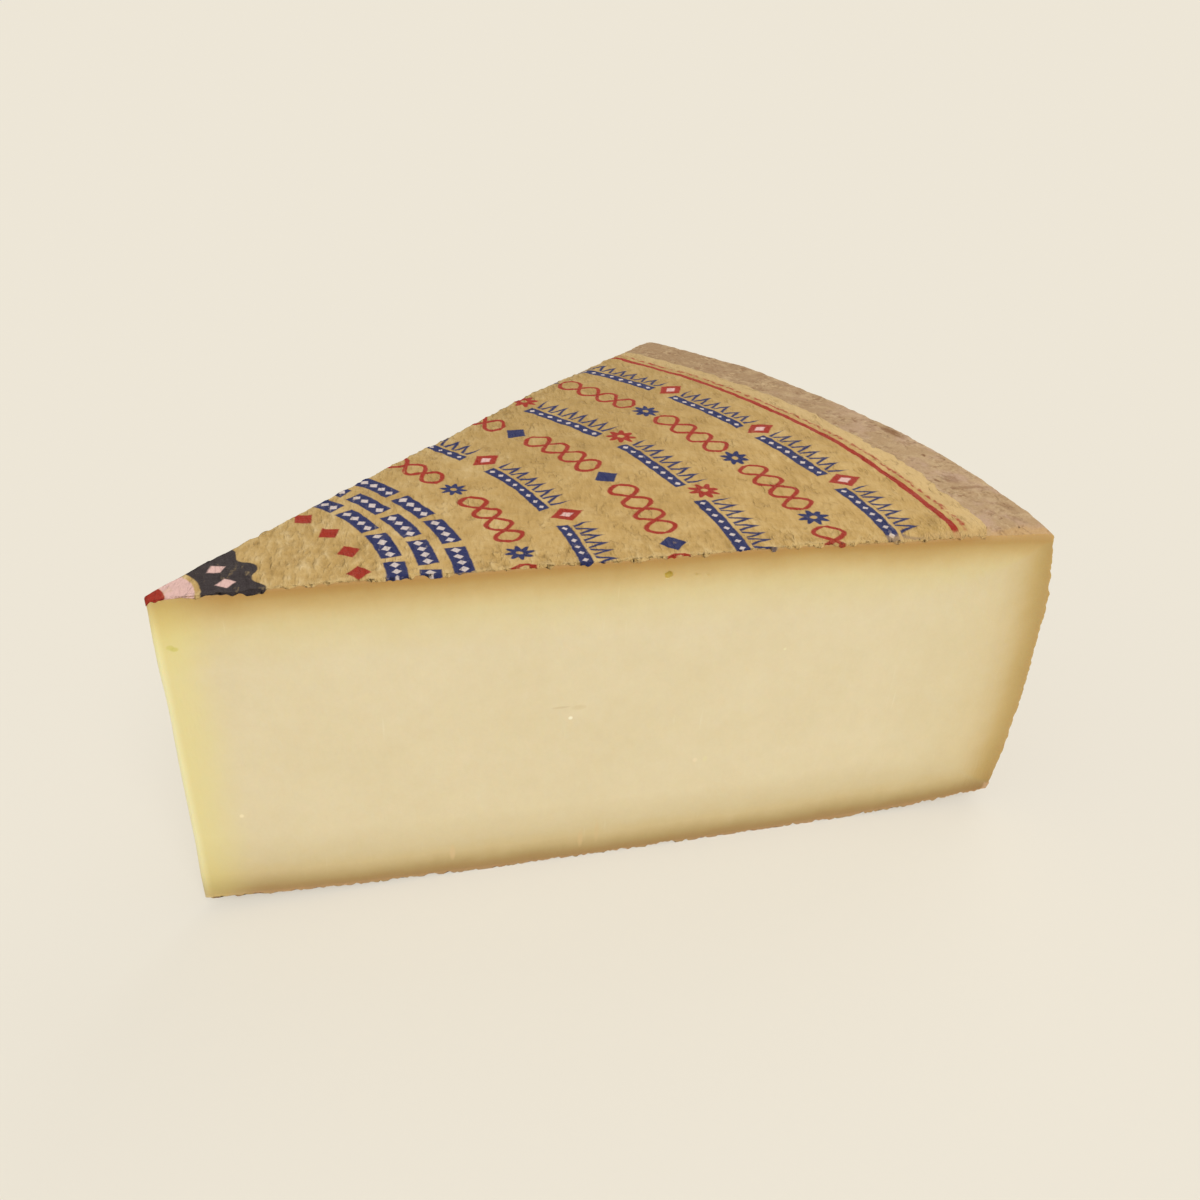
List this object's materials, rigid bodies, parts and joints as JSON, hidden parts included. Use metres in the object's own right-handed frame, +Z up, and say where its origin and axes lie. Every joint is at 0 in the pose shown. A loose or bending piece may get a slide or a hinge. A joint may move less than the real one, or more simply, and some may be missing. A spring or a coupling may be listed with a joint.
{
  "type": "hard cheese wedge with printed top paper",
  "caption": "Tall wedge, one eighth of a large wheel of hard mountain cheese, with a curved rind heel and printed paper on its top.",
  "frame": {"origin": "under the middle of the bounding box, on the surface that the wedge rests on", "axes": "+X along the middle of the wedge from its tip to its heel, +Y to the left-hand cut seen from the tip, +Z up"},
  "size_m": [0.2836, 0.219, 0.1187],
  "materials": {
    "cheese": "smooth cut paste, ivory yellow, with a brown washed rind on the base and heel",
    "paper": "thin printed paper, stuck to the rind and worn with it"
  },
  "bodies": {
    "root": {"cheese_wedge": "cheese", "top_label": "paper"}
  },
  "joints": []
}
